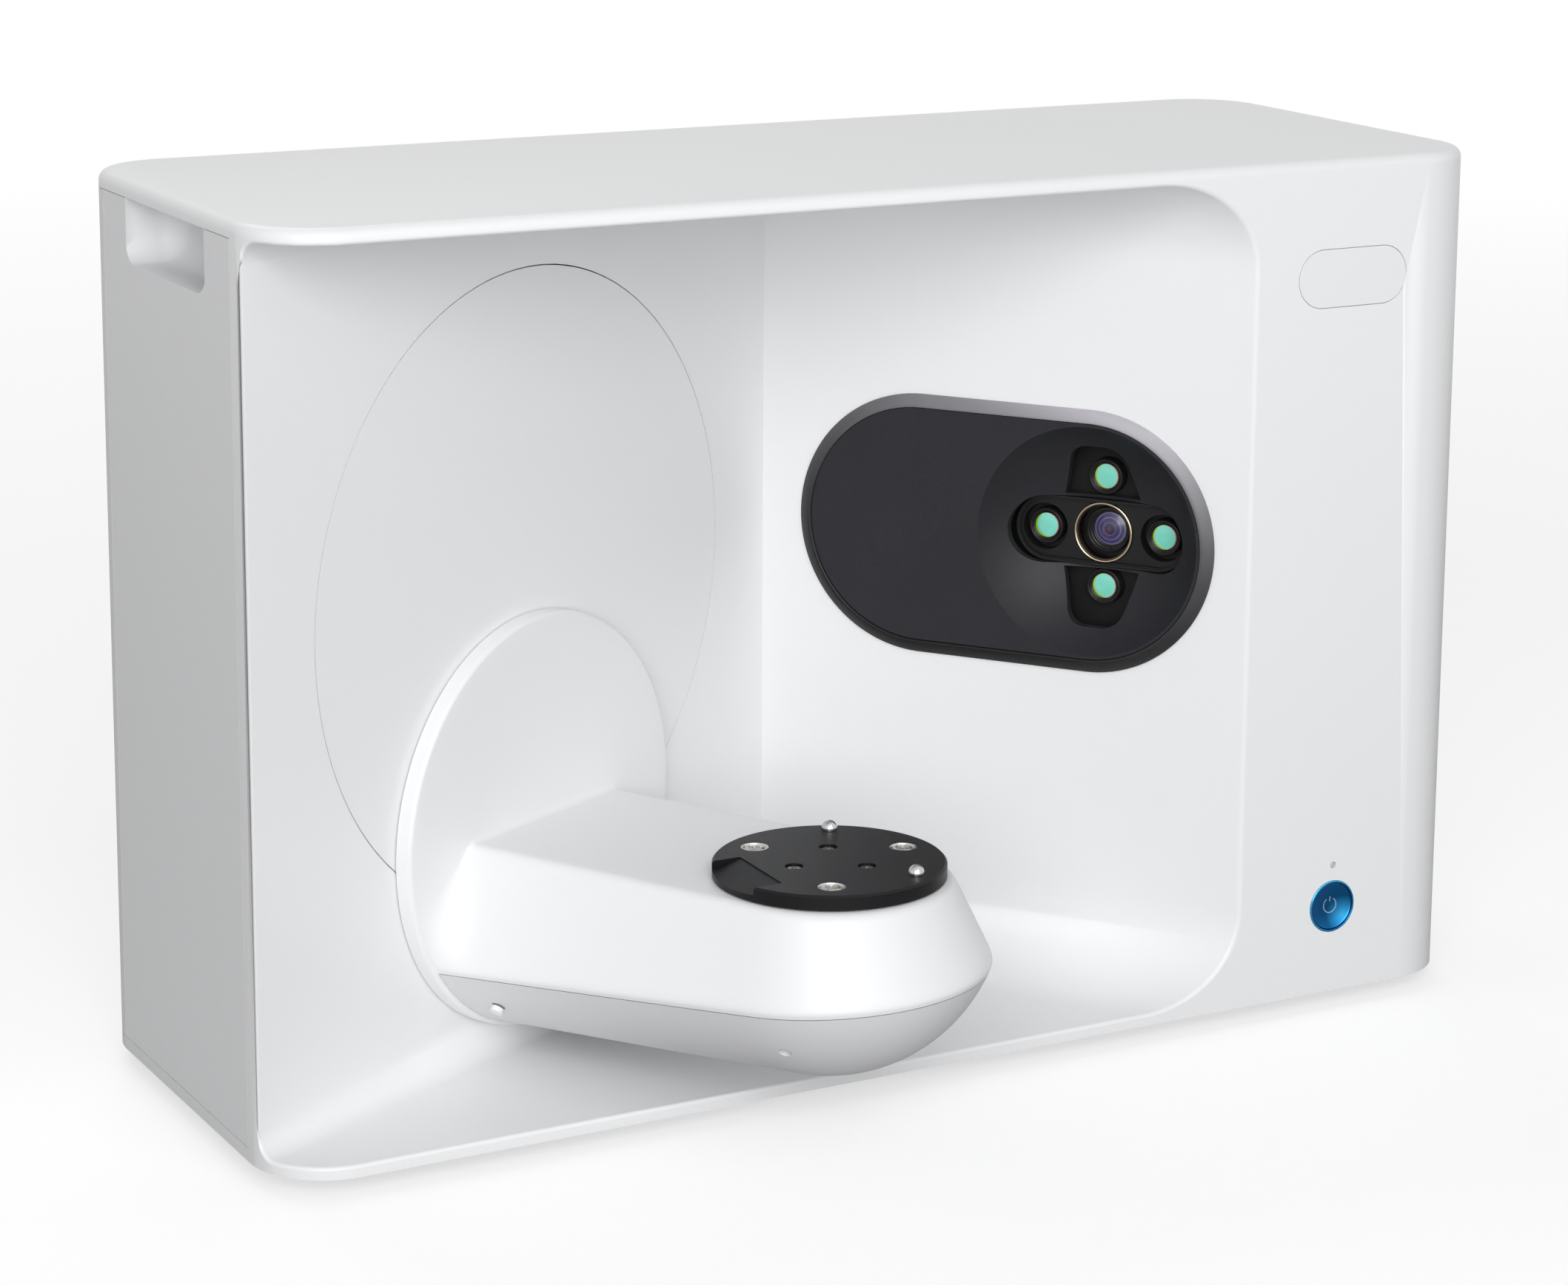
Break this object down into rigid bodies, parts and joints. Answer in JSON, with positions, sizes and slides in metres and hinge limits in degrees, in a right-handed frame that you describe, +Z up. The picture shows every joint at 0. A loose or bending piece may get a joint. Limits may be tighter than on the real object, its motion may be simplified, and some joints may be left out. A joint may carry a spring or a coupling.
{
  "type": "desktop 3d scanner",
  "caption": "Desktop 3D scanner: white casing with an open vee-shaped scan chamber, a swinging arm with a turntable, and a dark camera panel with a projector.",
  "frame": {"origin": "on the surface the scanner stands on, at the middle of the footprint's bounding box", "axes": "+Z up, -Y out of the open scan chamber towards the user, +X towards the column with the power button"},
  "size_m": [0.505, 0.2743, 0.3401],
  "materials": {
    "shell_white": "satin white moulded plastic",
    "cover_white": "fine-textured white plastic",
    "disc_white": "satin white plastic",
    "turntable_black": "black anodised aluminium",
    "panel_charcoal": "soft matt charcoal",
    "bezel_grey": "dark anodised, bright at the edge",
    "optics_black": "matt black",
    "barrel_black": "black anodised",
    "lens_teal": "coated glass with a green reflection",
    "lens_violet": "coated glass with a violet reflection",
    "ring_brass": "polished",
    "screw_steel": "machined",
    "ball_chrome": "polished balls",
    "button_blue": "blue anodised, dished",
    "light_clear": "milky light pipe",
    "rubber_dark": "matt",
    "chassis_steel": "zinc-plated",
    "drive_aluminium": "machined",
    "bearing_steel": "ground",
    "motor_dark": "lacquered laminations and end caps",
    "board_green": "solder mask",
    "supply_metal": "vented case",
    "fan_black": "moulded",
    "fitting_black": "moulded"
  },
  "bodies": {
    "casing": {"front_shell": "shell_white", "left_side_panel": "cover_white", "right_side_panel": "cover_white", "rear_cover": "cover_white", "rear_cover_screws": "screw_steel", "rubber_feet": "rubber_dark", "base_frame": "chassis_steel", "chassis_plate": "chassis_steel", "elevation_bearing": "bearing_steel", "elevation_motor": "motor_dark", "camera_bezel": "bezel_grey", "camera_panel": "panel_charcoal", "optics_bar": "optics_black", "projector_ring": "ring_brass", "projector_barrel": "barrel_black", "projector_lens": "lens_violet", "camera_barrels": "barrel_black", "camera_lenses": "lens_teal", "camera_bodies": "drive_aluminium", "projector_engine": "drive_aluminium", "camera_bracket": "chassis_steel", "badge_plate": "cover_white", "light_pipe": "light_clear", "button_rim": "drive_aluminium", "button_housing": "fan_black", "button_switch": "board_green", "power_inlet": "fitting_black", "rocker_frame": "fitting_black", "data_connector": "fitting_black", "main_board": "board_green", "board_standoffs": "drive_aluminium", "power_supply": "supply_metal", "fan_frame": "fan_black"},
    "elevation": {"elevation_disc": "disc_white", "arm_bearing": "bearing_steel", "elevation_hub": "drive_aluminium", "elevation_gear": "drive_aluminium", "arm_motor": "motor_dark"},
    "elevation_drive": {"elevation_pinion": "drive_aluminium"},
    "arm_drive": {"arm_pinion": "drive_aluminium"},
    "arm": {"arm_upper_shell": "shell_white", "arm_lower_shell": "shell_white", "arm_screw_plugs": "screw_steel", "arm_frame": "drive_aluminium", "arm_shaft": "bearing_steel", "arm_gear": "drive_aluminium", "turntable_bearing": "bearing_steel", "turntable_motor": "motor_dark", "turntable_belt": "rubber_dark"},
    "turntable": {"turntable_plate": "turntable_black", "turntable_spindle": "bearing_steel", "turntable_pulley": "drive_aluminium", "turntable_screws": "screw_steel", "turntable_small_screws": "screw_steel", "turntable_ball_pins": "ball_chrome"},
    "table_drive": {"motor_pulley": "drive_aluminium"},
    "power_button": {"power_button": "button_blue"},
    "power_rocker": {"power_rocker": "fitting_black"},
    "fan": {"fan_rotor": "fan_black"}
  },
  "joints": [
    {"name": "elevation_swing", "type": "hinge", "parent": "casing", "child": "elevation", "pos_m": [-0.11536, 0.0423, 0.1857], "axis": [0.4633, -0.8862, 0], "range_deg": [-45, 45]},
    {"name": "arm_turn", "type": "hinge", "parent": "elevation", "child": "arm", "pos_m": [-0.11536, 0.0423, 0.097], "axis": [0.4633, -0.8862, 0], "range_deg": [-90, 90]},
    {"name": "turntable_spin", "type": "hinge", "parent": "arm", "child": "turntable", "pos_m": [-0.05258, -0.07778, 0.104], "axis": [0, 0, 1], "continuous": true},
    {"name": "elevation_pinion_spin", "type": "hinge", "parent": "casing", "child": "elevation_drive", "pos_m": [-0.18838, 0.05377, 0.2451], "axis": [0.4633, -0.8862, 0], "range_deg": [-270, 270]},
    {"name": "arm_pinion_spin", "type": "hinge", "parent": "elevation", "child": "arm_drive", "pos_m": [-0.16923, 0.04799, 0.11342], "axis": [0.4633, -0.8862, 0], "range_deg": [-270, 270]},
    {"name": "motor_pulley_spin", "type": "hinge", "parent": "arm", "child": "table_drive", "pos_m": [-0.08316, -0.01929, 0.085], "axis": [0, 0, 1], "continuous": true},
    {"name": "power_button_press", "type": "slide", "parent": "casing", "child": "power_button", "axis": [0, 1, 0], "range_m": [0, 0.0012], "stiffness_N_per_m": 1200, "springref_m": -0.0008},
    {"name": "power_rocker_tip", "type": "hinge", "parent": "casing", "child": "power_rocker", "pos_m": [0.15375, 0.1307, 0.047], "axis": [1, 0, 0], "range_deg": [-22, 0]},
    {"name": "fan_spin", "type": "hinge", "parent": "casing", "child": "fan", "pos_m": [0.1905, 0.125, 0.269], "axis": [0, 1, 0], "continuous": true}
  ],
  "couplings": [
    {"joint": "elevation_pinion_spin", "follows": "elevation_swing", "ratio": -6},
    {"joint": "arm_pinion_spin", "follows": "arm_turn", "ratio": -3},
    {"joint": "motor_pulley_spin", "follows": "turntable_spin", "ratio": 2.3333}
  ]
}
